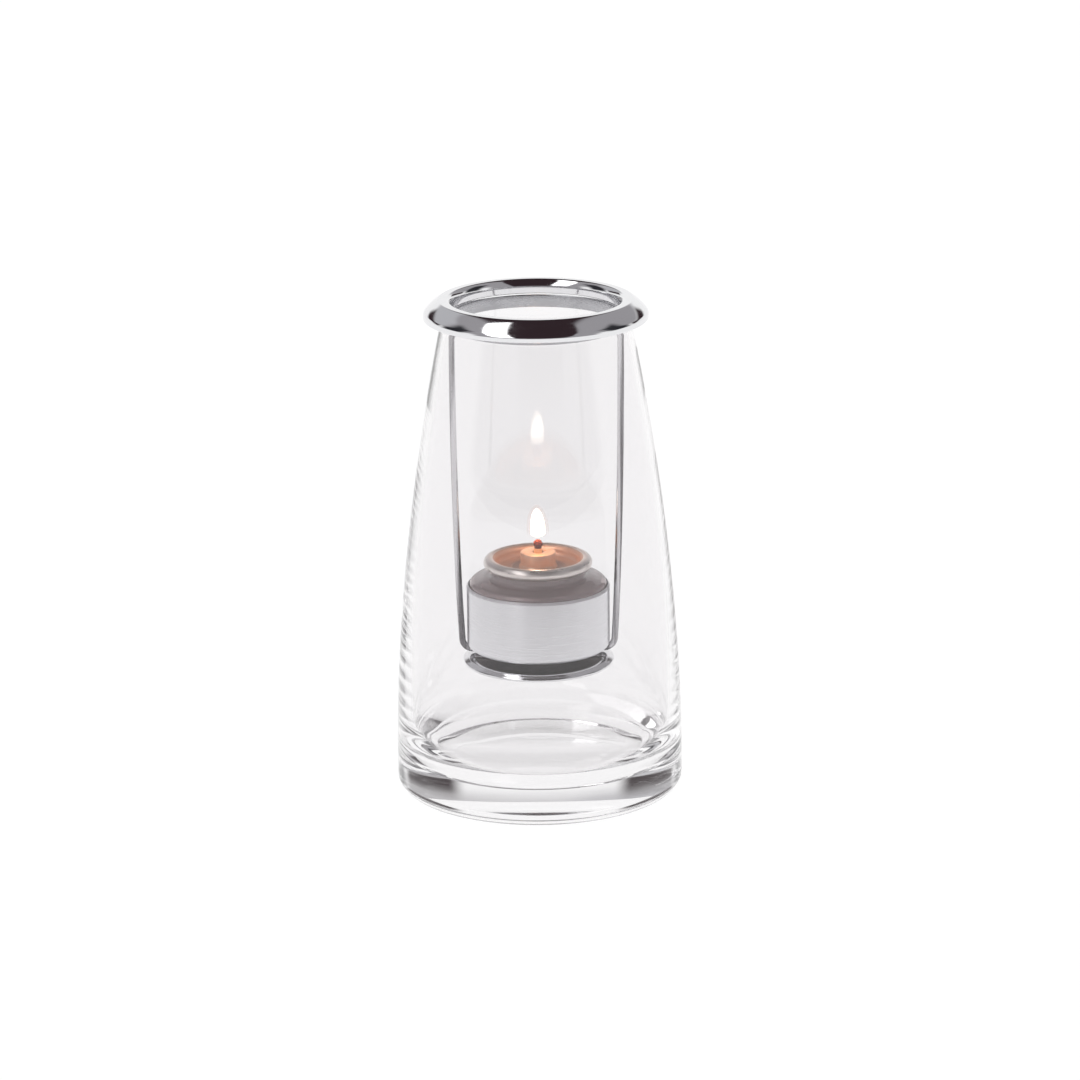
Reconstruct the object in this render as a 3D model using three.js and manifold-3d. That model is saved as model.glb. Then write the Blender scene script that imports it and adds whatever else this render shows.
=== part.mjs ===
// A tealight holder for a liquid-wax fuel cell.
//
// A tapered glass vase with a thick base carries a polished ring on its mouth. Two wires hang from the
// ring's collar and hold a satin cup above an under plate, and the disposable fuel cell stands in the cup.
// Everything is turned about the Z axis, except the wires and the vent hole. Millimetres, +Z up, with the
// origin in the middle of the underside of the glass.

import * as THREE from 'three';
import { mergeVertices } from 'three/addons/utils/BufferGeometryUtils.js';
import Module from 'manifold-3d';

// ---------------------------------------------------------------- driving dimensions

const GAP = 0.3; // clearance between pieces that touch

const GLASS = {
  baseRadius: 42.4, // widest, just above the base
  cornerRadius: 4.5, // between the underside and the side
  straightTo: 11.4, // height where the side starts to draw in
  mouthRadius: 27.7, // outside, at the mouth
  mouthWall: 1.8,
  height: 142.2,
  floorHeight: 9, // thickness of the base in the middle
  floorRadius: 27.6, // flat part of the inside floor
  filletHeight: 16, // the inside floor curves up into the wall over this height
  lowWall: 3.6, // wall just above that curve
  taperPower: 1.8, // the side draws in along this power of the height
  wallPower: 3, // the wall thins along this power of the height
  recessRadius: 31, // shallow hollow in the underside
  recessDepth: 0.7,
};

const RING = {
  height: 148.4, // top of the crest, the highest point of the object
  throatRadius: 24.5, // inside
  throatCurve: 2.1, // height over which the crest turns down into the throat
  crestRadius: 26.2, // the crest is flat from here
  shoulderRadius: 28.2, // to here
  faceCurve: 12.6, // radius of the shallow arc that the outer face follows
  faceTop: 60, // slope of the face's normal at its top, in degrees
  faceEnd: 36, // and where it meets the lip
  lipRadius: 32.9, // outside
  lipBottom: 142.7,
  lipHeight: 1.55,
  sheet: 0.9,
};

const COLLAR = {
  radius: 24.2, // inside
  sheet: 0.7,
  bottom: 140.2,
  flangeRadius: 28.6,
};

const CUP = {
  radius: 21.25, // outside
  wall: 0.6,
  bottom: 43,
  rimHeight: 62.1,
  bevelHeight: 0.8,
  cornerRadius: 1.5,
  floor: 0.7,
};

const PLATE = {
  top: 40.5,
  flatRadius: 18.8,
  rimRadius: 22.5,
  rimDrop: 1.7, // from the flat down to the middle of the bead
  beadRadius: 0.55,
  sheet: 0.8,
};

const WIRE = {
  radius: 0.975,
  topRadius: 24.6, // distance from the axis at the collar
  lowRadius: 22.7, // distance from the axis just above the bend
  bendRadius: 3.1,
  footEnd: 9, // distance from the axis where the foot ends
  upright: 0.34, // share of the leg, from the top, that still points straight down
  drawIn: 1.3, // how far outside the bend the leg's lower part points
  drawInAt: 0.25, // share of the leg, from the bend, where it does
};

const BOTTLE = {
  radius: 20.3,
  wall: 0.8,
  shoulder: 63.4, // height of the outer edge of the shoulder
  shoulderRise: 0.7,
  neckRadius: 14.1,
  neckWall: 0.7,
  lipRadius: 14.9,
  lipBottom: 67.8,
  lipTop: 68.45,
  cornerRadius: 2,
};

const CAP = {
  rimRadius: 14.3, // middle of the rolled rim
  rimRoll: 1.55, // from the middle of the roll to the middle of the sheet
  rimHeight: 68.45,
  sheet: 0.5,
  floor: 66.8, // middle of the sheet
  floorFillet: 1.7,
  holeRadius: 2.6,
};

const HOLDER = {
  radius: 5.2,
  top: 71.7,
  footRadius: 5.8,
  footHeight: 0.9,
  sheet: 0.8,
  boreRadius: 1.65,
  stemRadius: 2.05,
  stemBottom: 64,
  ventRadius: 0.4,
  ventRight: 1.95, // the vent hole's place from the axis, towards +X
  ventBack: 0.95, // and towards +Y
};

const WICK = { radius: 1.35, bottom: 45.4, top: 75.4 };
const WAX = { level: 59.5, clear: 0.35 };
const GASKET = { inner: 13.7, outer: 14.8, bottom: 68.72, top: 69.2 };

const ROUND = 40; // sides of the large turned pieces
const SMALL_ROUND = 32; // sides of the fuel cell's turned pieces
const TINY_ROUND = 18; // sides of the wick and its holder

// ---------------------------------------------------------------- helpers

const at = (radius, height) => new THREE.Vector2(radius, height);

/** Points along an ellipse in the (radius, height) plane; angles in degrees from the +radius direction. */
function arc(radius, height, halfWidth, halfHeight, from, to, steps) {
  const points = [];
  for (let i = 0; i <= steps; i += 1) {
    const angle = THREE.MathUtils.degToRad(from + ((to - from) * i) / steps);
    points.push(at(radius + halfWidth * Math.cos(angle), height + halfHeight * Math.sin(angle)));
  }
  return points;
}

/** The closed outline of a sheet of the given thickness, laid along a midline. */
function sheetOutline(midline, thickness) {
  const front = [];
  const back = [];
  midline.forEach((point, i) => {
    const before = midline[Math.max(i - 1, 0)];
    const after = midline[Math.min(i + 1, midline.length - 1)];
    const along = after.clone().sub(before).normalize();
    const side = at(-along.y, along.x).multiplyScalar(thickness / 2);
    front.push(point.clone().add(side));
    back.push(point.clone().sub(side));
  });
  return front.concat(back.reverse());
}

/** Twice the signed area of an outline: positive when it runs anticlockwise. */
function signedArea(outline) {
  return outline.reduce((sum, point, i) => {
    const next = outline[(i + 1) % outline.length];
    return sum + point.x * next.y - next.x * point.y;
  }, 0);
}

/** Turns an outline about the Z axis. An outline that misses the axis is closed on itself. */
function turned(outline, sides) {
  const ordered = signedArea(outline) > 0 ? outline.slice() : outline.slice().reverse();
  const onAxis = outline.filter((point) => point.x === 0).length;
  if (onAxis === 0) {
    ordered.push(ordered[0].clone());
  } else {
    while (ordered[0].x !== 0 || ordered[ordered.length - 1].x !== 0) {
      ordered.push(ordered.shift());
    }
  }
  const geometry = new THREE.LatheGeometry(ordered, sides);
  geometry.rotateX(Math.PI / 2);
  return geometry;
}

function piece(name, geometry, color, roughness, metalness, extra = {}) {
  const material = new THREE.MeshStandardMaterial({ color, roughness, metalness, ...extra });
  const mesh = new THREE.Mesh(geometry, material);
  mesh.name = name;
  return mesh;
}

// ---------------------------------------------------------------- glass vase

/** Outside radius of the glass: upright near the base, then drawn in along a power curve. */
function glassRadius(height) {
  const span = GLASS.height - GLASS.straightTo;
  const rise = Math.max(height - GLASS.straightTo, 0) / span;
  return GLASS.baseRadius - (GLASS.baseRadius - GLASS.mouthRadius) * rise ** GLASS.taperPower;
}

/** Wall of the glass: thick above the inside floor, and soon down to the wall of the mouth. */
function glassWall(height) {
  const low = GLASS.floorHeight + GLASS.filletHeight;
  const left = (GLASS.height - height) / (GLASS.height - low);
  return GLASS.mouthWall + (GLASS.lowWall - GLASS.mouthWall) * left ** GLASS.wallPower;
}

function glassVase() {
  const { baseRadius, cornerRadius, floorRadius, floorHeight, filletHeight, mouthWall, height } = GLASS;
  const wallSteps = 8;
  const rimRadius = mouthWall / 2;
  const rimCentre = height - rimRadius;
  const filletTop = floorHeight + filletHeight;
  const filletRadius = glassRadius(filletTop) - glassWall(filletTop) - floorRadius;
  const outline = [
    at(0, GLASS.recessDepth),
    at(GLASS.recessRadius * 0.75, GLASS.recessDepth * 0.6),
    at(GLASS.recessRadius, 0),
    ...arc(baseRadius - cornerRadius, cornerRadius, cornerRadius, cornerRadius, -90, 0, 3),
  ];
  for (let i = 0; i < wallSteps; i += 1) {
    const z = GLASS.straightTo + ((rimCentre - GLASS.straightTo) * i) / wallSteps;
    outline.push(at(glassRadius(z), z));
  }
  outline.push(...arc(glassRadius(rimCentre) - rimRadius, rimCentre, rimRadius, rimRadius, 0, 180, 4));
  for (let i = wallSteps - 1; i > 0; i -= 1) {
    const z = filletTop + ((rimCentre - filletTop) * i) / wallSteps;
    outline.push(at(glassRadius(z) - glassWall(z), z));
  }
  outline.push(...arc(floorRadius, filletTop, filletRadius, filletHeight, 0, -90, 5));
  outline.push(at(0, floorHeight));
  return turned(outline, ROUND);
}

// ---------------------------------------------------------------- ring and collar

function topRing() {
  const half = RING.sheet / 2;
  const { crestRadius, throatCurve, shoulderRadius, faceCurve, faceTop, faceEnd, lipBottom } = RING;
  const throat = RING.throatRadius + half;
  const crest = RING.height - half;
  const lip = RING.lipRadius - half;
  const end = THREE.MathUtils.degToRad(faceEnd);
  const faceCentre = at(lip, lipBottom + RING.lipHeight);
  faceCentre.x -= faceCurve * Math.cos(end);
  faceCentre.y -= faceCurve * Math.sin(end);
  const midline = [
    at(throat, COLLAR_TOP + GAP),
    ...arc(crestRadius, crest - throatCurve, crestRadius - throat, throatCurve, 180, 90, 3),
    at(shoulderRadius, crest),
    ...arc(faceCentre.x, faceCentre.y, faceCurve, faceCurve, faceTop, faceEnd, 3),
    at(lip, lipBottom),
  ];
  return turned(sheetOutline(midline, RING.sheet), ROUND);
}

// The collar's flange lies on the mouth of the glass, and its upper edge stands just under the ring's throat.
const FLANGE_BOTTOM = GLASS.height + GAP;
const FLANGE_TOP = FLANGE_BOTTOM + COLLAR.sheet;
const COLLAR_TOP = FLANGE_TOP + COLLAR.sheet;

function ringCollar() {
  const outer = COLLAR.radius + COLLAR.sheet;
  return turned(
    [
      at(COLLAR.radius, COLLAR.bottom),
      at(outer, COLLAR.bottom),
      at(outer, FLANGE_BOTTOM),
      at(COLLAR.flangeRadius, FLANGE_BOTTOM),
      at(COLLAR.flangeRadius, FLANGE_TOP),
      at(outer, FLANGE_TOP),
      at(outer, COLLAR_TOP),
      at(COLLAR.radius, COLLAR_TOP),
    ],
    ROUND,
  );
}

// ---------------------------------------------------------------- wires, cup and plate

/** One wire in the XZ plane: down from the collar, slightly bowed in, then under the cup. */
function hangerWire(side) {
  const point = (distance, height) => new THREE.Vector3(side * distance, 0, height);
  const footHeight = (CUP.bottom + PLATE.top) / 2;
  const bendTop = footHeight + WIRE.bendRadius;
  const legTop = COLLAR.bottom - GAP;
  const legLength = legTop - bendTop;
  const path = new THREE.CurvePath();
  path.add(
    new THREE.CubicBezierCurve3(
      point(WIRE.topRadius, legTop),
      point(WIRE.topRadius, legTop - legLength * WIRE.upright),
      point(WIRE.lowRadius + WIRE.drawIn, bendTop + legLength * WIRE.drawInAt),
      point(WIRE.lowRadius, bendTop),
    ),
  );
  path.add(
    new THREE.QuadraticBezierCurve3(
      point(WIRE.lowRadius, bendTop),
      point(WIRE.lowRadius, footHeight),
      point(WIRE.lowRadius - WIRE.bendRadius, footHeight),
    ),
  );
  path.add(
    new THREE.LineCurve3(
      point(WIRE.lowRadius - WIRE.bendRadius, footHeight),
      point(WIRE.footEnd, footHeight),
    ),
  );
  const section = new THREE.Shape();
  section.absarc(0, 0, WIRE.radius, 0, Math.PI * 2);
  return new THREE.ExtrudeGeometry(section, { steps: 32, curveSegments: 4, extrudePath: path });
}

function cellCup() {
  const { radius, wall, bottom, rimHeight, bevelHeight, cornerRadius, floor } = CUP;
  return turned(
    [
      at(0, bottom),
      ...arc(radius - cornerRadius, bottom + cornerRadius, cornerRadius, cornerRadius, -90, 0, 3),
      at(radius, rimHeight - bevelHeight),
      at(radius - wall, rimHeight),
      at(radius - wall, bottom + floor),
      at(0, bottom + floor),
    ],
    ROUND,
  );
}

function underPlate() {
  const { top, flatRadius, rimRadius, rimDrop, beadRadius, sheet } = PLATE;
  const beadCentre = at(rimRadius - beadRadius, top - rimDrop);
  const skirtWidth = beadCentre.x - flatRadius;
  return turned(
    [
      at(0, top),
      ...arc(flatRadius, beadCentre.y, skirtWidth, rimDrop, 90, 30, 3),
      ...arc(beadCentre.x, beadCentre.y, beadRadius, beadRadius, 45, -135, 4),
      ...arc(flatRadius, beadCentre.y, skirtWidth - sheet, rimDrop - sheet, 30, 90, 2),
      at(0, top - sheet),
    ],
    ROUND,
  );
}

// ---------------------------------------------------------------- fuel cell

const BOTTLE_BOTTOM = CUP.bottom + CUP.floor + GAP;

function cellBottle() {
  const { radius, wall, shoulder, shoulderRise, neckRadius, neckWall, cornerRadius } = BOTTLE;
  const inner = radius - wall;
  const innerChamfer = 1;
  const corner = 1.3;
  const neckBase = shoulder + shoulderRise;
  const neckFillet = 1.2;
  const neckInner = neckRadius - neckWall;
  const bottomCentre = BOTTLE_BOTTOM + cornerRadius;
  return turned(
    [
      at(0, BOTTLE_BOTTOM),
      ...arc(radius - cornerRadius, bottomCentre, cornerRadius, cornerRadius, -90, 0, 3),
      ...arc(radius - corner, shoulder - corner, corner, corner, 0, 85, 3),
      ...arc(neckRadius + neckFillet, neckBase + neckFillet, neckFillet, neckFillet, -90, -180, 2),
      at(neckRadius, BOTTLE.lipBottom),
      at(BOTTLE.lipRadius, BOTTLE.lipBottom),
      at(BOTTLE.lipRadius, BOTTLE.lipTop),
      at(neckInner, BOTTLE.lipTop),
      at(neckInner, neckBase - wall),
      at(inner - corner, shoulder - wall),
      at(inner, shoulder - wall - corner),
      at(inner, bottomCentre),
      at(inner - innerChamfer, BOTTLE_BOTTOM + wall),
      at(0, BOTTLE_BOTTOM + wall),
    ],
    SMALL_ROUND,
  );
}

function liquidWax() {
  const outer = BOTTLE.radius - BOTTLE.wall - GAP;
  const inner = WICK.radius + WAX.clear;
  const bottom = BOTTLE_BOTTOM + BOTTLE.wall + GAP;
  const corner = 1.5;
  return turned(
    [
      at(inner, bottom),
      at(outer - corner, bottom),
      at(outer, bottom + corner),
      at(outer, WAX.level),
      at(inner, WAX.level),
    ],
    SMALL_ROUND,
  );
}

function capGasket() {
  const { inner, outer, bottom, top } = GASKET;
  return turned([at(inner, bottom), at(outer, bottom), at(outer, top), at(inner, top)], SMALL_ROUND);
}

/** The pressed cap: a flat floor with a hole, a short wall, and a rim rolled over the bottle's lip. */
function cellCap() {
  const { rimRadius, rimRoll, rimHeight, floor, floorFillet, holeRadius, sheet } = CAP;
  const wall = rimRadius - rimRoll;
  const filletCentre = at(wall - floorFillet, floor + floorFillet);
  const midline = [
    at(holeRadius + sheet / 2, floor),
    ...arc(filletCentre.x, filletCentre.y, floorFillet, floorFillet, -90, 0, 3),
    ...arc(rimRadius, rimHeight, rimRoll, rimRoll, 170, -75, 6),
  ];
  return turned(sheetOutline(midline, sheet), SMALL_ROUND);
}

/** Cuts one geometry out of another. */
async function cut(geometry, tool) {
  const wasm = await Module();
  wasm.setup();
  const solid = (shape) => {
    const bare = shape.clone();
    bare.deleteAttribute('normal');
    bare.deleteAttribute('uv');
    const merged = mergeVertices(bare, 1e-4);
    const vertProperties = new Float32Array(merged.attributes.position.array);
    const corners = Array.from(merged.index.array);
    const kept = [];
    for (let i = 0; i < corners.length; i += 3) {
      const [a, b, c] = corners.slice(i, i + 3);
      if (a !== b && b !== c && c !== a) {
        kept.push(a, b, c);
      }
    }
    return new wasm.Manifold(new wasm.Mesh({ numProp: 3, vertProperties, triVerts: new Uint32Array(kept) }));
  };
  const mesh = solid(geometry).subtract(solid(tool)).getMesh();
  const result = new THREE.BufferGeometry();
  result.setAttribute('position', new THREE.BufferAttribute(new Float32Array(mesh.vertProperties), 3));
  result.setIndex(new THREE.BufferAttribute(new Uint32Array(mesh.triVerts), 1));
  result.computeVertexNormals();
  return result;
}

/** A hollow boss with a stem round the wick, and a vent hole beside the wick. */
async function wickHolder() {
  const { radius, top, footRadius, footHeight, sheet, boreRadius, stemRadius, stemBottom } = HOLDER;
  const foot = CAP.floor + CAP.sheet / 2 + GAP;
  const edge = 0.4;
  const body = turned(
    [
      at(boreRadius, stemBottom),
      at(stemRadius, stemBottom),
      at(stemRadius, top - sheet),
      at(radius - sheet, top - sheet),
      at(radius - sheet, foot),
      at(footRadius, foot),
      at(radius, foot + footHeight),
      at(radius, top - edge),
      at(radius - edge, top),
      at(boreRadius, top),
    ],
    TINY_ROUND,
  );
  const drill = new THREE.CylinderGeometry(HOLDER.ventRadius, HOLDER.ventRadius, 3 * sheet, 10);
  drill.rotateX(Math.PI / 2);
  drill.translate(HOLDER.ventRight, HOLDER.ventBack, top);
  return cut(body, drill);
}

function wick() {
  const { radius, bottom, top } = WICK;
  const charred = 0.8;
  return turned([at(0, bottom), at(radius, bottom), at(radius, top - charred), at(0, top)], TINY_ROUND);
}

// ---------------------------------------------------------------- the object

const holder = new THREE.Group();
holder.name = 'tealight_holder';

const hanger = new THREE.Group();
hanger.add(piece('top_ring', topRing(), 0xd9d9dc, 0.06, 1));
hanger.add(piece('ring_collar', ringCollar(), 0xc4c5ca, 0.12, 1));
hanger.add(piece('hanger_wire_left', hangerWire(-1), 0xd2d2d6, 0.1, 1));
hanger.add(piece('hanger_wire_right', hangerWire(1), 0xd2d2d6, 0.1, 1));
hanger.add(piece('cell_cup', cellCup(), 0xc6c8cd, 0.34, 1));
hanger.add(piece('under_plate', underPlate(), 0xd0d0d4, 0.07, 1));

const cell = new THREE.Group();
const clear = { transparent: true, opacity: 0.45 };
cell.add(piece('cell_bottle', cellBottle(), 0x9d8f95, 0.12, 0, clear));
cell.add(piece('liquid_wax', liquidWax(), 0xe8e2df, 0.02, 0, clear));
cell.add(piece('cap_gasket', capGasket(), 0xe9e6e0, 0.6, 0));
cell.add(piece('cell_cap', cellCap(), 0xd8cfc4, 0.32, 1));
cell.add(piece('wick_holder', await wickHolder(), 0xdab79c, 0.36, 1));
cell.add(piece('wick', wick(), 0x5a2a20, 0.95, 0));

holder.add(piece('glass_vase', glassVase(), 0xf4f6f7, 0.03, 0, { transparent: true, opacity: 0.3 }));
holder.add(hanger);
holder.add(cell);

export default holder;
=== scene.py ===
# %% [markdown]
# # A tealight holder with a liquid-wax fuel cell
#
# A tapered glass vase carries a polished ring on its mouth. Two wires hang from the ring and hold a satin cup,
# and a disposable fuel cell with a lit wick stands in the cup. Nearly every piece of it was made on a lathe, a
# spinning chuck or a round mould, so nearly every mesh here is an outline turned about one axis. The glass and
# the polished metal have no colour of their own, so half of the work is in what stands round them.

# %% Load the frame
import math

import bmesh
import bpy
from mathutils import Matrix, Vector


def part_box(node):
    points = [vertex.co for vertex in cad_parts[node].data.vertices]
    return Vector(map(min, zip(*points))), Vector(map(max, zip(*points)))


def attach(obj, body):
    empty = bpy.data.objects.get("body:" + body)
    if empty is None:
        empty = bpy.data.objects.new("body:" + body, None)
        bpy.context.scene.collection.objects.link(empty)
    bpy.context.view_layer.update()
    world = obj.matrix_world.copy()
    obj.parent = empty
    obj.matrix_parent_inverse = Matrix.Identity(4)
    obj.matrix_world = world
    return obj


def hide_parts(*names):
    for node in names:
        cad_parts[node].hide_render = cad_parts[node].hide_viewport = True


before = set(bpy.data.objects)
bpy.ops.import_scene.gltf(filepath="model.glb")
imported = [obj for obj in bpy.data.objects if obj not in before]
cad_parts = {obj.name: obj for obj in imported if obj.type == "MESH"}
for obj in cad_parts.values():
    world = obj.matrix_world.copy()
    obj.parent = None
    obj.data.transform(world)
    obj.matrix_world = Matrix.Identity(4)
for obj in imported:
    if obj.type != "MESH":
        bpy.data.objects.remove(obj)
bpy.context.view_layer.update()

MM = 0.001
ON_AXIS = 1e-7


def add(name, data):
    """A new object with this data, in the scene."""
    thing = bpy.data.objects.new(name, data)
    bpy.context.scene.collection.objects.link(thing)
    return thing


# %% [markdown]
# ## Camera
#
# A long lens far from a small object keeps its sides nearly parallel, which is how tableware is usually shown.
# The camera looks down a little, so that the ring and the cup show as ellipses. It could track an empty, but a
# plain matrix is easier to read: a place, a tilt down, and a slight roll.

# %% Camera
SENSOR = 36.0
LENS = 150.7
CAMERA_AT = Vector((0.62, -1282.0, 441.0)) * MM
CAMERA_DOWN = math.radians(15.92)
CAMERA_ROLL = math.radians(-0.52)

camera_data = bpy.data.cameras.new("camera")
camera_data.sensor_width = SENSOR
camera_data.lens = LENS
camera = add("camera", camera_data)
tilt = Matrix.Rotation(math.pi / 2 - CAMERA_DOWN, 4, "X")
camera.matrix_world = Matrix.Translation(CAMERA_AT) @ tilt @ Matrix.Rotation(CAMERA_ROLL, 4, "Z")
bpy.context.scene.camera = camera
print(f"camera {CAMERA_AT.length:.2f} m from the origin, lens {LENS} mm")

# %% [markdown]
# ## Outlines
#
# A turned piece is drawn once, as a closed outline of (radius, height) points. Round stretches are arcs, and a
# small helper rounds every sharp corner of an outline, because a real edge always has a radius, however small,
# and that radius is what catches the light.

# %% Outline helpers
def arc(radius, height, half_width, half_height, start, end, steps):
    """Points along an ellipse in the (radius, height) plane. Angles are in degrees from +radius."""
    points = []
    for i in range(steps + 1):
        angle = math.radians(start + (end - start) * i / steps)
        points.append((radius + half_width * math.cos(angle), height + half_height * math.sin(angle)))
    return points


LONGEST_REACH = 0.45  # of the length of a side, so that two rounded corners never meet


def soften(outline, size, steps=3, sharpest=25.0):
    """Round each corner that turns by more than `sharpest` degrees, over `size` on both sides of it."""
    count = len(outline)
    result = []
    for i in range(count):
        before, here, after = (Vector(outline[(i + k) % count]) for k in (-1, 0, 1))
        into, out = here - before, after - here
        turn_angle = math.degrees(into.angle(out, 0.0)) if into.length and out.length else 0.0
        if here.x < ON_AXIS or turn_angle < sharpest:
            result.append(tuple(here))
            continue
        reach_in = min(size, into.length * LONGEST_REACH)
        reach_out = min(size, out.length * LONGEST_REACH)
        first = here - into.normalized() * reach_in
        last = here + out.normalized() * reach_out
        for k in range(steps + 1):
            t = k / steps
            point = first * (1 - t) ** 2 + here * 2 * t * (1 - t) + last * t**2
            result.append(tuple(point))
    return result


def sheet(midline, thickness):
    """The closed outline of sheet metal of one thickness, laid along a midline."""
    front, back = [], []
    last = len(midline) - 1
    for i, point in enumerate(midline):
        before, after = Vector(midline[max(i - 1, 0)]), Vector(midline[min(i + 1, last)])
        along = (after - before).normalized()
        side = Vector((-along.y, along.x)) * thickness / 2
        front.append(tuple(Vector(point) + side))
        back.append(tuple(Vector(point) - side))
    return front + back[::-1]


# %% [markdown]
# ## Turning
#
# Blender's Screw modifier would turn an outline too, but building the rings in bmesh keeps one vertex on the
# axis, closes the mesh, and lets each face choose its material by where it is. Faces are shaded smooth, and an
# edge stays sharp only where the surface really breaks.

# %% Mesh helpers
SIDES = 192
CREASE = math.radians(38)


def mesh_piece(name, bm, materials):
    """Make an object of a bmesh, smooth except where it breaks by more than the crease angle."""
    bmesh.ops.recalc_face_normals(bm, faces=bm.faces)
    for face in bm.faces:
        face.smooth = True
    for edge in bm.edges:
        edge.smooth = edge.calc_face_angle(0.0) < CREASE
    mesh = bpy.data.meshes.new(name)
    bm.to_mesh(mesh)
    bm.free()
    for material in materials:
        mesh.materials.append(material)
    piece = add(name, mesh)
    print(f"{name}: {len(mesh.polygons)} faces")
    return piece


def turn(name, outline, materials, sides=SIDES, choose=None, wobble=None):
    """Turn a closed outline about Z. choose(radius, height) picks a face's material by number, and
    wobble(angle, radius, height) moves a point in or out."""
    bm = bmesh.new()
    rings = []
    for radius, height in outline:
        if radius < ON_AXIS:
            rings.append([bm.verts.new((0, 0, height))])
            continue
        ring = []
        for k in range(sides):
            angle = 2 * math.pi * k / sides
            r = radius + (wobble(angle, radius, height) if wobble else 0.0)
            ring.append(bm.verts.new((r * math.cos(angle), r * math.sin(angle), height)))
        rings.append(ring)
    closed = all(len(ring) > 1 for ring in rings)
    for i in range(len(rings) if closed else len(rings) - 1):
        a, b = rings[i], rings[(i + 1) % len(rings)]
        middle = [(outline[i][k] + outline[(i + 1) % len(outline)][k]) / 2 for k in (0, 1)]
        for k in range(sides):
            j = (k + 1) % sides
            corners = [a[k % len(a)], a[j % len(a)], b[j % len(b)], b[k % len(b)]]
            face = bm.faces.new(list(dict.fromkeys(corners)))
            if choose:
                face.material_index = choose(*middle)
    return mesh_piece(name, bm, materials)


def stand_for(piece, node, body):
    """A piece that replaces a CAD node and rides on its body."""
    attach(piece, body)
    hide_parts(node)


# %% [markdown]
# ## Materials
#
# Every finish is one Principled shader with noise behind it. One helper makes the shader, and the others add what
# real surfaces have: roughness that varies a little, a fine relief, and a second tone. The grain of turned or
# brushed metal is noise that is stretched round the axis, by scaling its height far more than its width. Where
# noise drives a colour or a roughness, the plain value in a material's first line is only its starting point.

# %% Material helpers
def principled(name, colour, roughness, **sockets):
    """A material with one Principled shader. Sockets are given by name, with underscores for spaces."""
    material = bpy.data.materials.new(name)
    material.use_nodes = True
    shader = material.node_tree.nodes["Principled BSDF"]
    shader.inputs["Base Color"].default_value = (*colour, 1.0)
    shader.inputs["Roughness"].default_value = roughness
    for socket, value in sockets.items():
        shader.inputs[socket.replace("_", " ")].default_value = value
    return material


def noise(material, scale, stretch=(1, 1, 1), detail=4.0):
    """Noise in the piece's own space. stretch above 1 packs the grain closer along that axis."""
    nodes, links = material.node_tree.nodes, material.node_tree.links
    place = nodes.new("ShaderNodeTexCoord")
    mapping = nodes.new("ShaderNodeMapping")
    mapping.inputs["Scale"].default_value = stretch
    grain = nodes.new("ShaderNodeTexNoise")
    grain.inputs["Scale"].default_value = scale
    grain.inputs["Detail"].default_value = detail
    links.new(place.outputs["Object"], mapping.inputs["Vector"])
    links.new(mapping.outputs["Vector"], grain.inputs["Vector"])
    return grain.outputs["Fac"]


def spread(material, source, low, high):
    """Let the roughness vary from low to high with a pattern. Noise seldom leaves 0.3 to 0.7, so that is used."""
    nodes, links = material.node_tree.nodes, material.node_tree.links
    remap = nodes.new("ShaderNodeMapRange")
    remap.inputs["From Min"].default_value = 0.3
    remap.inputs["From Max"].default_value = 0.7
    remap.inputs["To Min"].default_value = low
    remap.inputs["To Max"].default_value = high
    links.new(source, remap.inputs["Value"])
    links.new(remap.outputs["Result"], nodes["Principled BSDF"].inputs["Roughness"])


def relief(material, source, height):
    """Drive the surface's bump from a pattern, with the relief's height in metres."""
    nodes, links = material.node_tree.nodes, material.node_tree.links
    bump = nodes.new("ShaderNodeBump")
    bump.inputs["Distance"].default_value = height
    bump.inputs["Strength"].default_value = 1.0
    links.new(source, bump.inputs["Height"])
    links.new(bump.outputs["Normal"], nodes["Principled BSDF"].inputs["Normal"])


def two_tone(material, source, dark, light, low=0.35, high=0.65):
    """Colour the surface between two tones by a pattern."""
    nodes, links = material.node_tree.nodes, material.node_tree.links
    ramp = nodes.new("ShaderNodeValToRGB")
    ramp.color_ramp.elements[0].position = low
    ramp.color_ramp.elements[0].color = (*dark, 1.0)
    ramp.color_ramp.elements[1].position = high
    ramp.color_ramp.elements[1].color = (*light, 1.0)
    links.new(source, ramp.inputs["Fac"])
    links.new(ramp.outputs["Color"], nodes["Principled BSDF"].inputs["Base Color"])


# %% [markdown]
# ## Clear glass
#
# Soda-lime glass bends light by an index of about 1.52. A real wall thickness matters more than any setting:
# the inner and the outer skin are both in the mesh, so edges, the thick base and the ghost of the flame on the
# back wall all come from the geometry. A faint bump stands for the slight waves of blown glass.

# %% Clear glass
clear_glass = principled("clear_glass", (0.93, 0.922, 0.928), 0.0, IOR=1.52, Transmission_Weight=1.0)
relief(clear_glass, noise(clear_glass, 60.0, detail=1.0), 0.02 * MM)

# %% [markdown]
# ## Polished and satin metal
#
# The ring, the wires and the plate are mirror polished, with hairlines left by the buffing wheel. The wires are
# given a darker colour with dark lines along them, which are painted reflections of dark surroundings. The collar
# inside the ring was never buffed, so it is duller. The cup is brushed while it turns: the scratches run round
# it, so they smear every highlight up and down, and an anisotropic shader with a tangent round the axis does just
# that.
# Its bevel is painted near white, a painted highlight along the rim.

# %% Metals
polished = principled("polished_metal", (0.80, 0.80, 0.815), 0.05, Metallic=1.0)
spread(polished, noise(polished, 220.0, (1, 1, 6)), 0.04, 0.12)

collar_metal = principled("collar_metal", (0.52, 0.52, 0.54), 0.26, Metallic=1.0)
spread(collar_metal, noise(collar_metal, 90.0, (1, 1, 8)), 0.2, 0.34)

# The wires' darker colour and the dark lines along them are painted reflections of dark surroundings.
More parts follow.
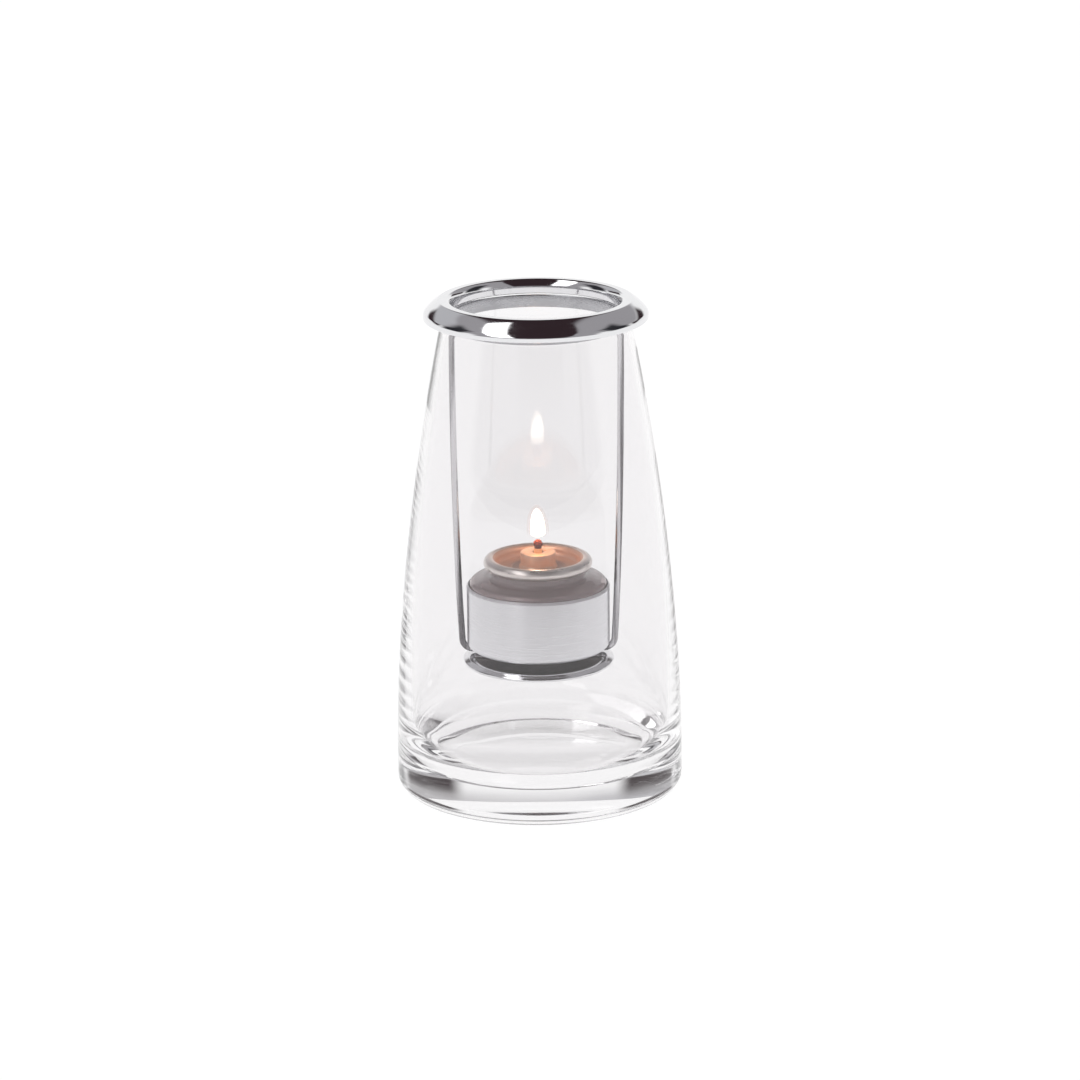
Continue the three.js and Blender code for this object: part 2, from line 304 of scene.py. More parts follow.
polished_wire = principled("polished_wire", (0.46, 0.45, 0.46), 0.09, Metallic=1.0)
painted_reflection_lines = noise(polished_wire, 700.0, (1, 1, 0.02), detail=2.0)
two_tone(polished_wire, painted_reflection_lines, (0.12, 0.11, 0.12), (0.66, 0.65, 0.67), 0.38, 0.6)
spread(polished_wire, noise(polished_wire, 900.0, (6, 6, 0.4)), 0.07, 0.16)


def round_the_axis(material, amount):
    """Point a metal's grain round the Z axis."""
    nodes, links = material.node_tree.nodes, material.node_tree.links
    tangent = nodes.new("ShaderNodeTangent")
    tangent.direction_type = "RADIAL"
    tangent.axis = "Z"
    links.new(tangent.outputs["Tangent"], nodes["Principled BSDF"].inputs["Tangent"])
    nodes["Principled BSDF"].inputs["Anisotropic"].default_value = amount
    nodes["Principled BSDF"].inputs["Anisotropic Rotation"].default_value = 0.25


satin = principled("satin_metal", (0.80, 0.80, 0.82), 0.45, Metallic=1.0)
brushing = noise(satin, 60.0, (1, 1, 160), detail=6.0)
spread(satin, brushing, 0.26, 0.34)
relief(satin, brushing, 0.0015 * MM)
round_the_axis(satin, 0.85)

# The cup's underside gets a dark brownish colour: painted shade under the cup, which the plate below mirrors.
painted_shade_underside = principled("cup_underside_painted_shade", (0.26, 0.20, 0.20), 0.5, Metallic=0.9)
spread(painted_shade_underside, noise(painted_shade_underside, 300.0), 0.4, 0.6)

# The bevel's near-white, barely metallic colour is a painted highlight along the cup's rim.
bevel = principled("bevel_painted_highlight", (0.97, 0.95, 0.99), 0.3, Metallic=0.1)
spread(bevel, noise(bevel, 120.0, (1, 1, 12)), 0.25, 0.34)

# %% [markdown]
# ## Fuel cell finishes
#
# The bottle is smoky clear plastic with clear liquid wax in it. The cap is a thin pressed sheet with a pale
# lacquer. Its recess is painted darker and copper, which is painted shade and painted warm light of the flame.
# The boss that holds the wick is painted orange, which is painted light of the flame. The wick is a braid with a
# charred head, whose dark red patches are a painted ember glow.

# %% Fuel cell finishes
smoky_plastic = principled("smoky_plastic", (0.95, 0.79, 0.80), 0.03, IOR=1.5, Transmission_Weight=0.68)
relief(smoky_plastic, noise(smoky_plastic, 110.0, (1, 1, 7), detail=3.0), 0.22 * MM)

liquid = principled("liquid_wax", (0.96, 0.95, 0.94), 0.0, IOR=1.44, Transmission_Weight=1.0)
relief(liquid, noise(liquid, 90.0, detail=1.0), 0.01 * MM)

seal = principled("seal", (0.82, 0.8, 0.77), 0.6)
relief(seal, noise(seal, 1500.0), 0.02 * MM)

pale_cap = principled("pale_cap", (0.86, 0.79, 0.755), 0.3, Metallic=0.7)
spread(pale_cap, noise(pale_cap, 90.0, (1, 1, 8)), 0.26, 0.34)

# The recess's darker copper colour is painted shade and painted warm light of the flame.
recess_painted_shade_and_flame_light = principled("recess_painted_shade_and_flame_light", (0.66, 0.46, 0.37), 0.42, Metallic=0.65)
spread(recess_painted_shade_and_flame_light, noise(recess_painted_shade_and_flame_light, 90.0, (1, 1, 8)), 0.38, 0.46)

# The boss's orange tones are painted warm light of the flame, varied by a random grain.
boss_painted_flame_light = principled("wick_boss", (0.88, 0.72, 0.60), 0.4, Metallic=0.5)
boss_grain = noise(boss_painted_flame_light, 500.0)
two_tone(boss_painted_flame_light, boss_grain, (0.88, 0.64, 0.47), (0.94, 0.74, 0.58))
relief(boss_painted_flame_light, boss_grain, 0.01 * MM)

char = principled("wick_fibre", (0.045, 0.014, 0.01), 0.95)
char_grain_and_ember_glow = noise(char, 2200.0, detail=6.0)
# The dark red tone among the char is a painted ember glow; the same noise also gives the char its real relief.
two_tone(char, char_grain_and_ember_glow, (0.03, 0.008, 0.006), (0.34, 0.07, 0.04))
relief(char, char_grain_and_ember_glow, 0.12 * MM)

soaked_fibre = principled("soaked_fibre", (0.86, 0.62, 0.46), 0.5)
relief(soaked_fibre, noise(soaked_fibre, 1500.0), 0.04 * MM)

# The wick's foot gives off a little orange light, a painted glow that stands for the flame's light on it.
PAINTED_FOOT_GLOW = (1.0, 0.36, 0.12, 1.0)
wick_foot_painted_glow = principled(
    "wick_foot_painted_flame_light", (0.75, 0.42, 0.24), 0.8, Emission_Strength=0.5, Emission_Color=PAINTED_FOOT_GLOW
)
relief(wick_foot_painted_glow, noise(wick_foot_painted_glow, 1800.0), 0.06 * MM)

# %% [markdown]
# ## The glass vase
#
# The vase is pressed or blown in a mould, with a thick base that keeps it steady. Its side stands upright near
# the base and draws in towards the mouth, which a power of the height describes in one line. Inside, the floor
# curves up into the wall, and the wall thins towards the mouth. The mouth is fire-polished to a half round.

# %% Glass vase
glass_low, glass_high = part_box("glass_vase")
BASE_RADIUS = glass_high.x
GLASS_TOP = glass_high.z
BASE_CORNER = 4.5 * MM
STRAIGHT_TO = 11.4 * MM
MOUTH_RADIUS = 27.7 * MM
MOUTH_WALL = 1.8 * MM
LOW_WALL = 3.6 * MM
FLOOR_HEIGHT = 9.0 * MM
FLOOR_RADIUS = 27.6 * MM
FILLET_HEIGHT = 16.0 * MM
FILLET_TOP = FLOOR_HEIGHT + FILLET_HEIGHT
TAPER_POWER = 1.8
WALL_POWER = 3.0
RECESS_RADIUS = 31.0 * MM
RECESS_DEPTH = 0.7 * MM
WAVE = 0.05 * MM


def glass_outside(height):
    rise = max(height - STRAIGHT_TO, 0.0) / (GLASS_TOP - STRAIGHT_TO)
    return BASE_RADIUS - (BASE_RADIUS - MOUTH_RADIUS) * rise**TAPER_POWER


def glass_inside(height):
    left = (GLASS_TOP - height) / (GLASS_TOP - FILLET_TOP)
    return glass_outside(height) - (MOUTH_WALL + (LOW_WALL - MOUTH_WALL) * left**WALL_POWER)


def glass_outline():
    steps = 60
    rim = MOUTH_WALL / 2
    rim_centre = GLASS_TOP - rim
    fillet = glass_inside(FILLET_TOP) - FLOOR_RADIUS
    up = [STRAIGHT_TO + (rim_centre - STRAIGHT_TO) * i / steps for i in range(steps)]
    down = [rim_centre + (FILLET_TOP - rim_centre) * i / steps for i in range(1, steps)]
    hollow = [RECESS_RADIUS * i / 8 for i in range(1, 8)]
    return (
        [(0.0, RECESS_DEPTH)]
        + [(r, RECESS_DEPTH * (1 - (r / RECESS_RADIUS) ** 2)) for r in hollow]
        + [(RECESS_RADIUS, 0.0)]
        + arc(BASE_RADIUS - BASE_CORNER, BASE_CORNER, BASE_CORNER, BASE_CORNER, -90, 0, 14)
        + [(glass_outside(z), z) for z in up]
        + arc(glass_outside(rim_centre) - rim, rim_centre, rim, rim, 0, 180, 14)
        + [(glass_inside(z), z) for z in down]
        + arc(FLOOR_RADIUS, FILLET_TOP, fillet, FILLET_HEIGHT, 0, -90, 26)
        + [(FLOOR_RADIUS * i / 6, FLOOR_HEIGHT) for i in (5, 4, 3, 2, 1)]
        + [(0.0, FLOOR_HEIGHT)]
    )


def wavy(angle, radius, height):
    """Blown glass is never quite round: its inner skin wanders by a few hundredths of a millimetre."""
    inner = radius < glass_outside(height) - MOUTH_WALL / 2 and height > FLOOR_HEIGHT + MM
    if not inner:
        return 0.0
    return WAVE * (math.sin(3 * angle + 0.7 + 20 * height) + 0.6 * math.sin(5 * angle + 2.1))


vase = turn("vase", glass_outline(), [clear_glass], wobble=wavy)
stand_for(vase, "glass_vase", "glass")
print(f"glass {1000 * GLASS_TOP:.1f} mm tall, {2000 * BASE_RADIUS:.1f} mm across the base")

# %% [markdown]
# ## The ring and its collar
#
# The ring is spun from sheet over a former: a flat crest, a sloping face outside that ends in an upright lip, and
# a throat that turns down inside. A short collar goes down into the mouth and keeps the ring centred, and its
# flange lies on the glass. The slope of the face matters most, because it decides what the metal mirrors.

# %% Ring and collar
ring_low, ring_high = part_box("top_ring")
collar_low, collar_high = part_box("ring_collar")
RING_SHEET = 0.9 * MM
THROAT_RADIUS = 24.5 * MM
THROAT_CURVE = 2.1 * MM
CREST_FROM = 26.2 * MM
CREST_TO = 28.2 * MM
FACE_CURVE = 12.6 * MM
FACE_TOP = 60  # degrees round the arc of the face, where it leaves the crest
FACE_END = 36  # and where it meets the lip
LIP_HEIGHT = 1.55 * MM
COLLAR_RADIUS = 24.2 * MM
COLLAR_SHEET = 0.7 * MM
FLANGE_GAP = 0.06 * MM


def ring_outline():
    half = RING_SHEET / 2
    throat = THROAT_RADIUS + half
    crest = ring_high.z - half
    lip = ring_high.x - half
    face_end = math.radians(FACE_END)
    face_radius = lip - FACE_CURVE * math.cos(face_end)
    face_height = ring_low.z + LIP_HEIGHT - FACE_CURVE * math.sin(face_end)
    return sheet(
        [(throat, collar_high.z + 0.3 * MM)]
        + arc(CREST_FROM, crest - THROAT_CURVE, CREST_FROM - throat, THROAT_CURVE, 180, 92, 16)
        + [(CREST_FROM, crest), (CREST_TO, crest)]
        + arc(face_radius, face_height, FACE_CURVE, FACE_CURVE, FACE_TOP, FACE_END + 2, 20)
        + [(lip, ring_low.z + 0.9 * LIP_HEIGHT), (lip, ring_low.z)],
        RING_SHEET,
    )


ring = turn("ring", soften(ring_outline(), 0.45 * MM, 6, 12.0), [polished], sides=256)
stand_for(ring, "top_ring", "hanger")


def collar_outline():
    outer = COLLAR_RADIUS + COLLAR_SHEET
    flange_low = GLASS_TOP + FLANGE_GAP
    flange_high = flange_low + COLLAR_SHEET
    return [
        (COLLAR_RADIUS, collar_low.z),
        (outer, collar_low.z),
        (outer, flange_low),
        (collar_high.x, flange_low),
        (collar_high.x, flange_high),
        (outer, flange_high),
        (outer, collar_high.z),
        (COLLAR_RADIUS, collar_high.z),
    ]


collar = turn("collar", soften(collar_outline(), 0.2 * MM), [collar_metal], sides=256)
stand_for(collar, "ring_collar", "hanger")

# %% [markdown]
# ## The hanger wires
#
# Each wire is brazed to the collar's lower edge, runs down just inside the glass, bows in a little, and bends in
# under the cup. A curve object with a bevel would do, but sweeping a circle along the path in bmesh gives closed
# ends and a swelling at the top, where the braze has run up against the collar.

# %% Hanger wires
cup_low, cup_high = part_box("cell_cup")
plate_low, plate_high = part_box("under_plate")
wire_low, wire_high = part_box("hanger_wire_right")
WIRE_RADIUS = (wire_high.y - wire_low.y) / 2
WIRE_TOP_RADIUS = 24.6 * MM
WIRE_LOW_RADIUS = 22.7 * MM
WIRE_BEND = 3.1 * MM
BRAZE_SWELL = 0.16
BRAZE_STEPS = 1.6
FOOT_HEIGHT = (cup_low.z + plate_high.z) / 2


def bezier(points, t):
    """A point on a Bezier curve with any number of control points."""
    while len(points) > 1:
        points = [a.lerp(b, t) for a, b in zip(points, points[1:])]
    return points[0]


def wire_path():
    """The wire's middle line in the plane of +X and Z: leg, bend and foot."""
    top = collar_low.z
    bend_top = FOOT_HEIGHT + WIRE_BEND
    leg = top - bend_top
    leg_shape = [
        Vector((WIRE_TOP_RADIUS, 0, top)),
        Vector((WIRE_TOP_RADIUS, 0, top - 0.34 * leg)),
        Vector((WIRE_LOW_RADIUS + 1.3 * MM, 0, bend_top + 0.25 * leg)),
        Vector((WIRE_LOW_RADIUS, 0, bend_top)),
    ]
    leg_steps, bend_steps = 60, 14
    path = [bezier(leg_shape, i / leg_steps) for i in range(leg_steps + 1)]
    for i in range(1, bend_steps + 1):
        angle = math.pi / 2 * i / bend_steps
        across = WIRE_LOW_RADIUS - WIRE_BEND * (1 - math.cos(angle))
        path.append(Vector((across, 0, bend_top - WIRE_BEND * math.sin(angle))))
    path.append(Vector((wire_low.x, 0, FOOT_HEIGHT)))
    return path


def sweep(name, path, radius_at, material, sides=28):
    """Sweep a circle along a path in the XZ plane, with closed ends."""
    bm = bmesh.new()
    rings = []
    for i, point in enumerate(path):
        along = (path[min(i + 1, len(path) - 1)] - path[max(i - 1, 0)]).normalized()
        across = along.cross(Vector((0, 1, 0))).normalized()
        radius = radius_at(i)
        ring = []
        for k in range(sides):
            angle = 2 * math.pi * k / sides
            offset = across * math.cos(angle) + Vector((0, 1, 0)) * math.sin(angle)
            ring.append(bm.verts.new(point + offset * radius))
        rings.append(ring)
    for a, b in zip(rings, rings[1:]):
        for k in range(sides):
            j = (k + 1) % sides
            bm.faces.new([a[k], a[j], b[j], b[k]])
    bm.faces.new(rings[0])
    bm.faces.new(rings[-1])
    return mesh_piece(name, bm, [material])


def braze(i):
    """The wire swells over its first steps, where the braze holds it to the collar."""
    return WIRE_RADIUS * (1 + BRAZE_SWELL * max(0.0, 1 - i / BRAZE_STEPS))


for side, label in ((-1, "left"), (1, "right")):
    path = [Vector((side * p.x, p.y, p.z)) for p in wire_path()]
    wire = sweep(f"wire_{label}", path, braze, polished_wire)
    stand_for(wire, f"hanger_wire_{label}", "hanger")

# %% [markdown]
# ## The cup and the plate under it
#
# The cup is drawn from sheet steel, brushed while it turns, and its rim is cut to a bevel that carries a painted
# highlight. The plate is a shallow saucer turned upside down, spot-welded under the cup with the feet of the
# wires between them. Its skirt falls to a small rolled bead.

# %% Cup and plate
CUP_WALL = 0.6 * MM
CUP_FLOOR = 0.7 * MM
CUP_CORNER = 1.5 * MM
BEVEL_HEIGHT = 0.8 * MM
MID_WALL = 8 * MM  # one more ring of points, so that the wall's faces are not too tall


def cup_outline():
    radius = cup_high.x
    bore = radius - CUP_WALL
    return (
        [(0.0, cup_low.z)]
        + arc(radius - CUP_CORNER, cup_low.z + CUP_CORNER, CUP_CORNER, CUP_CORNER, -90, 0, 12)
        + [(radius, cup_low.z + MID_WALL), (radius, cup_high.z - BEVEL_HEIGHT), (bore, cup_high.z)]
        + [(bore, cup_low.z + CUP_FLOOR), (0.0, cup_low.z + CUP_FLOOR)]
    )


def cup_finish(radius, height):
    """Painted highlight on the bevel, painted shade under the floor, and brushed everywhere else."""
    if height > cup_high.z - BEVEL_HEIGHT * 1.05 and radius > cup_high.x - CUP_WALL * 1.01:
        return 1
    return 2 if height < cup_low.z + 0.1 * CUP_CORNER and radius < cup_high.x - CUP_CORNER else 0


cup = turn("cup", soften(cup_outline(), 0.1 * MM), [satin, bevel, painted_shade_underside], choose=cup_finish)
stand_for(cup, "cell_cup", "hanger")

PLATE_FLAT = 18.8 * MM
PLATE_DROP = 1.7 * MM
PLATE_BEAD = 0.55 * MM
PLATE_SHEET = 0.8 * MM


def plate_outline():
    top = plate_high.z
    bead = (plate_high.x - PLATE_BEAD, top - PLATE_DROP)
    skirt = bead[0] - PLATE_FLAT
    return (
        [(0.0, top)]
        + arc(PLATE_FLAT, bead[1], skirt, PLATE_DROP, 90, 28, 14)
        + arc(bead[0], bead[1], PLATE_BEAD, PLATE_BEAD, 60, -150, 14)
        + arc(PLATE_FLAT, bead[1], skirt - PLATE_SHEET, PLATE_DROP - PLATE_SHEET, 28, 90, 10)
        + [(0.0, top - PLATE_SHEET)]
    )


plate = turn("plate", plate_outline(), [polished])
stand_for(plate, "under_plate", "hanger")

# %% [markdown]
# ## The fuel cell
#
# The bottle is blown plastic: a straight body, a nearly flat shoulder with a rounded edge and a small step in it,
# and a short neck whose lip the cap is rolled over. The wax fills it most of the way, and creeps up a little
# where it meets the wall.

# %% Bottle and wax
bottle_low, bottle_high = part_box("cell_bottle")
BOTTLE_WALL = 0.8 * MM
BOTTLE_RADIUS = 20.3 * MM
SHOULDER = 63.4 * MM
SHOULDER_RISE = 0.7 * MM
NECK_RADIUS = 14.1 * MM
NECK_WALL = 0.7 * MM
LIP_RADIUS = 14.9 * MM
LIP_THICK = 0.65 * MM
SHOULDER_STEP = [(17.4 * MM, SHOULDER + 0.18 * MM), (16.9 * MM, SHOULDER + 0.45 * MM)]


def bottle_outline():
    corner = 2.0 * MM
    edge = 1.3 * MM
    fillet = 1.2 * MM
    inner = BOTTLE_RADIUS - BOTTLE_WALL
    low = bottle_low.z
    neck_base = SHOULDER + SHOULDER_RISE
    outside = (
        [(0.0, low)]
        + arc(BOTTLE_RADIUS - corner, low + corner, corner, corner, -90, 0, 10)
        + arc(BOTTLE_RADIUS - edge, SHOULDER - edge, edge, edge, 0, 84, 12)
        + SHOULDER_STEP
        + arc(NECK_RADIUS + fillet, neck_base + fillet, fillet, fillet, -90, -180, 10)
        + [(NECK_RADIUS, bottle_high.z - LIP_THICK), (LIP_RADIUS, bottle_high.z - LIP_THICK)]
        + [(LIP_RADIUS, bottle_high.z)]
    )
    inside = (
        [(NECK_RADIUS - NECK_WALL, bottle_high.z), (NECK_RADIUS - NECK_WALL, neck_base)]
        + arc(inner - edge, SHOULDER - BOTTLE_WALL - edge, edge, edge, 88, 0, 10)
        + arc(inner - edge, low + BOTTLE_WALL + edge, edge, edge, 0, -90, 8)
        + [(0.0, low + BOTTLE_WALL)]
    )
    return outside + inside


bottle = turn("bottle", soften(bottle_outline(), 0.15 * MM), [smoky_plastic])
stand_for(bottle, "cell_bottle", "cell")

wax_low, wax_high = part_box("liquid_wax")
wick_low, wick_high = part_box("wick")
WAX_GAP = 0.03 * MM
WAX_RADIUS = BOTTLE_RADIUS - BOTTLE_WALL - WAX_GAP
CREEP_WIDTH = 1.2 * MM
CREEP_HEIGHT = 0.7 * MM


def wax_outline():
    corner = 1.3 * MM
    inner = wick_high.x + 0.05 * MM
    low = bottle_low.z + BOTTLE_WALL + WAX_GAP
    level = wax_high.z
    meniscus = arc(WAX_RADIUS - CREEP_WIDTH, level + CREEP_HEIGHT, CREEP_WIDTH, CREEP_HEIGHT, 0, -90, 8)
    return (
        [(inner, low)]
        + arc(WAX_RADIUS - corner, low + corner, corner, corner, -90, 0, 8)
        + meniscus
        + [(inner + 1.5 * MM, level), (inner, level + 0.4 * MM)]
    )


wax = turn("wax", wax_outline(), [liquid], sides=128)
stand_for(wax, "liquid_wax", "cell")

# %% [markdown]
# ## The cap, the gasket and the boss
#
# The cap is one pressed sheet: a floor with a raised band that stiffens it, a short wall, and a rim rolled over
# the bottle's lip with a gasket under it. A hollow boss stands on the floor and holds a short tube for the wick,
# with a vent hole beside it, so that air can follow the wax that burns.

# %% Cap and gasket
cap_low, cap_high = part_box("cell_cap")
CAP_SHEET = 0.5 * MM
CAP_ROLL = 1.55 * MM
CAP_RIM = cap_high.x - CAP_ROLL - CAP_SHEET / 2
CAP_RIM_HEIGHT = cap_high.z - CAP_ROLL - CAP_SHEET / 2
CAP_FLOOR = cap_low.z + CAP_SHEET / 2
CAP_FILLET = 1.7 * MM
CAP_HOLE = 2.6 * MM
RAISED_BAND = 2.0 * MM
RAISED_BY = 0.16 * MM


def cap_outline():
    wall = CAP_RIM - CAP_ROLL
    band_out = wall - CAP_FILLET - 0.9 * MM
    band_in = band_out - RAISED_BAND
    return sheet(
        [(CAP_HOLE, CAP_FLOOR), (band_in - 0.3 * MM, CAP_FLOOR)]
        + [(band_in, CAP_FLOOR + RAISED_BY), (band_out, CAP_FLOOR + RAISED_BY)]
        + arc(wall - CAP_FILLET, CAP_FLOOR + CAP_FILLET, CAP_FILLET, CAP_FILLET, -70, 0, 10)
        + arc(CAP_RIM, CAP_RIM_HEIGHT, CAP_ROLL, CAP_ROLL, 176, -75, 40),
        CAP_SHEET,
    )


def cap_finish(radius, height):
    """Painted shade and painted warm flame light down in the recess, and the pale lacquer on the rim."""
    return 1 if radius < CAP_RIM - 0.62 * CAP_ROLL else 0


cap = turn("cap", soften(cap_outline(), 0.12 * MM), [pale_cap, recess_painted_shade_and_flame_light], 160, cap_finish)
stand_for(cap, "cell_cap", "cell")

gasket_low, gasket_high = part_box("cap_gasket")
GASKET_INNER = 13.7 * MM
gasket_outline = [
    (GASKET_INNER, gasket_low.z),
    (gasket_high.x, gasket_low.z),
    (gasket_high.x, gasket_high.z),
    (GASKET_INNER, gasket_high.z),
]
gasket = turn("gasket", soften(gasket_outline, 0.15 * MM), [seal], sides=96)
stand_for(gasket, "cap_gasket", "cell")

# %% Boss with its vent hole
boss_low, boss_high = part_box("wick_holder")
BOSS_RADIUS = 5.2 * MM
BOSS_FOOT = 5.8 * MM
BOSS_SHEET = 0.8 * MM
BOSS_BORE = 1.65 * MM
BOSS_STEM = 2.05 * MM
VENT_AT = Vector((1.95, 0.95, 0)) * MM
VENT_RADIUS = 0.4 * MM
BOSS_GAP = 0.05 * MM
BOSS_STANDS_AT = CAP_FLOOR + CAP_SHEET / 2 + BOSS_GAP


def boss_outline():
    top = boss_high.z
    under = top - BOSS_SHEET
    foot = BOSS_STANDS_AT
    return [
        (BOSS_BORE, boss_low.z),
        (BOSS_STEM, boss_low.z),
        (BOSS_STEM, under),
        (BOSS_RADIUS - BOSS_SHEET, under),
        (BOSS_RADIUS - BOSS_SHEET, foot),
        (BOSS_FOOT, foot),
        (BOSS_FOOT - 0.15 * MM, foot + 0.35 * MM),
        (BOSS_RADIUS, foot + 1.0 * MM),
        (BOSS_RADIUS, top),
        (BOSS_BORE, top),
    ]


def drill(piece, centre, radius, low, high):
    """Cut a round hole straight down through a piece, and apply the cut."""
    bm = bmesh.new()
    place = Matrix.Translation((centre.x, centre.y, (low + high) / 2))
    bmesh.ops.create_cone(
        bm, cap_ends=True, segments=24, radius1=radius, radius2=radius, depth=high - low, matrix=place
    )
    bit = mesh_piece("bit", bm, [])
    cut = piece.modifiers.new("hole", "BOOLEAN")
    cut.operation = "DIFFERENCE"
    cut.solver = "EXACT"
    cut.object = bit
    drilled = bpy.data.meshes.new_from_object(piece.evaluated_get(bpy.context.evaluated_depsgraph_get()))
    piece.modifiers.remove(cut)
    piece.data = drilled
    bpy.data.objects.remove(bit)


boss = turn("boss", soften(boss_outline(), 0.2 * MM), [boss_painted_flame_light], sides=96)
drill(boss, VENT_AT, VENT_RADIUS, boss_high.z - 2 * BOSS_SHEET, boss_high.z + BOSS_SHEET)
stand_for(boss, "wick_holder", "cell")

# %% [markdown]
# ## The wick
#
# The wick is a braid: its strands stand out as shallow lobes that wind round it. Above the boss it is charred and
# swells to a ragged head. Two sine waves round and up the mesh make both shapes, so nothing is left to chance.

# %% Wick
HEAD_FROM = boss_high.z + 1.1 * MM
WICK_TOP = wick_high.z
WICK_RADIUS = wick_high.x
STRAND_RELIEF = 0.05 * MM
HEAD_RELIEF = 0.1 * MM


def wick_outline():
    stem = WICK_RADIUS * 0.86
    steps = 40
    points = [(0.0, wick_low.z)] + [
        (stem, wick_low.z + (HEAD_FROM - wick_low.z) * i / steps) for i in range(steps + 1)
    ]
    points += arc(0.0, (HEAD_FROM + WICK_TOP) / 2, WICK_RADIUS, (WICK_TOP - HEAD_FROM) / 2, -50, 82, 22)
    return points + [(0.0, WICK_TOP)]


def braided(angle, radius, height):
    """Five strands wind up the braid, and the head is ragged besides."""
    lobes = STRAND_RELIEF * math.sin(5 * angle + 3 * height / MM)
    ragged = HEAD_RELIEF * math.sin(3 * angle + 11 * height / MM) * (height > HEAD_FROM)
    return (lobes + ragged) * min(1.0, radius / (0.5 * MM))


def burnt_painted_glow_or_soaked(radius, height):
    """Charred at the head, with a painted glow of flame light just above the boss, and soaked with wax below."""
    if height > HEAD_FROM + 0.1 * MM:
        return 0
    return 1 if height > boss_high.z - 0.2 * MM else 2


wick = turn("wick_braid", wick_outline(), [char, wick_foot_painted_glow, soaked_fibre], 48, burnt_painted_glow_or_soaked, braided)
stand_for(wick, "wick", "cell")

# %% [markdown]
# ## The flame
#
# A short wick feeds a stubby flame with a round top. A volume shader would be truer, but it is slow and noisy,
# so the flame is a closed skin that gives off light, with two thin see-through skins round it that fade it into
# the air. It is dim and peach at its foot and white hot above. A small lamp inside it warms the cap and wires.

# %% Flame
FLAME_LOW = WICK_TOP + 0.7 * MM
FLAME_TOP = WICK_TOP + 9.5 * MM
FLAME_RADIUS = 2.05 * MM
FLAME_LEAN = 0.35 * MM
FLICKER = 0.1 * MM
SMALLEST_RADIUS = 1.0 * MM


def flame_outline(low, top, radius):
    """A closed flame: a rounded foot, nearly straight sides, and a round top."""
    steps = 48
    points = [(0.0, low)]
    for i in range(1, steps):
        t = i / steps
        foot = min(1.0, (t / 0.12) ** 0.5)
        body = max(0.0, 1 - t**3.6) ** 0.6
        points.append((radius * foot * body, low + (top - low) * t))
    return points + [(0.0, top)]


def flicker(angle, radius, height):
    """A slow twist, so that the flame isn't quite round. It fades out towards the axis."""
    return FLICKER * math.sin(2 * angle + 500 * height) * min(1.0, radius / SMALLEST_RADIUS)


def flame_skin(name, grow, material):
    """One skin of the flame, larger than its core by `grow`, leaning a little towards its tip."""
    outline = flame_outline(FLAME_LOW - grow * 0.7, FLAME_TOP + grow, FLAME_RADIUS + grow)
    skin = turn(name, outline, [material], 48, wobble=flicker)
    for vertex in skin.data.vertices:
        vertex.co.x -= FLAME_LEAN * ((vertex.co.z - FLAME_LOW) / (FLAME_TOP - FLAME_LOW)) ** 2
    skin.visible_shadow = False
    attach(skin, "cell")


def rising(material, socket, low, high, start, end):
    """Drive a socket by height, from low at start to high at end."""
    nodes, links = material.node_tree.nodes, material.node_tree.links
    place = nodes.new("ShaderNodeTexCoord")
    axes = nodes.new("ShaderNodeSeparateXYZ")
    remap = nodes.new("ShaderNodeMapRange")
    remap.interpolation_type = "SMOOTHSTEP"
    for name, value in (("From Min", start), ("From Max", end), ("To Min", low), ("To Max", high)):
        remap.inputs[name].default_value = value
    links.new(place.outputs["Object"], axes.inputs["Vector"])
    links.new(axes.outputs["Z"], remap.inputs["Value"])
    links.new(remap.outputs["Result"], nodes["Principled BSDF"].inputs[socket])


def glow(name, colour, strength):
    """A black, matt material that only gives off light."""
    light = {"Emission_Color": (*colour, 1.0), "Emission_Strength": strength}
    return principled(name, (0.0, 0.0, 0.0), 1.0, Specular_IOR_Level=0.0, **light)


HOT_FROM = FLAME_LOW + 2.6 * MM
WHITE_HOT = 10.0
flame_core = glow("flame_core", (1.0, 0.88, 0.72), WHITE_HOT)
rising(flame_core, "Emission Strength", 1.4, WHITE_HOT, FLAME_LOW, HOT_FROM)
flame_edge = glow("flame_edge", (1.0, 0.86, 0.78), 1.1)
rising(flame_edge, "Alpha", 0.0, 0.42, FLAME_LOW - 0.4 * MM, HOT_FROM)
flame_halo = glow("flame_halo", (1.0, 0.72, 0.64), 1.0)
rising(flame_halo, "Alpha", 0.0, 0.10, FLAME_LOW, HOT_FROM)

flame_skin("flame", 0.0, flame_core)
flame_skin("flame_edge", 0.28 * MM, flame_edge)
flame_skin("flame_halo", 1.2 * MM, flame_halo)

LAMP_WATTS = 0.005
LAMP_COLOUR = (1.0, 0.42, 0.16)
LAMP_RADIUS = 2.0 * MM

lamp_data = bpy.data.lights.new("flame_light", "POINT")
lamp_data.energy = LAMP_WATTS
lamp_data.color = LAMP_COLOUR
lamp_data.shadow_soft_size = LAMP_RADIUS
lamp = add("flame_light", lamp_data)
lamp.location = (0, 0, FLAME_LOW + 2.2 * MM)
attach(lamp, "cell")

# %% [markdown]
# ## Floor and room
#
# Clear glass and mirror-bright metal are lit by what stands round them. The floor is a wide white sheet that
# glows, so it stays white right under the glass, and it needs no lamp. The room is the world's own background:
# white up to a low band above the horizon and grey above it. Dark cards behind, at the sides and in front give
# the polished metal its dark bands, and a soft box in front gives it a highlight. Each card is a patch with soft
# edges, mixed over the last one.

# %% Floor
FLOOR_REACH = 6.0
FLOOR_SIDES = 64
FLOOR_DROP = 0.2 * MM
FLOOR_GLOW = 0.985

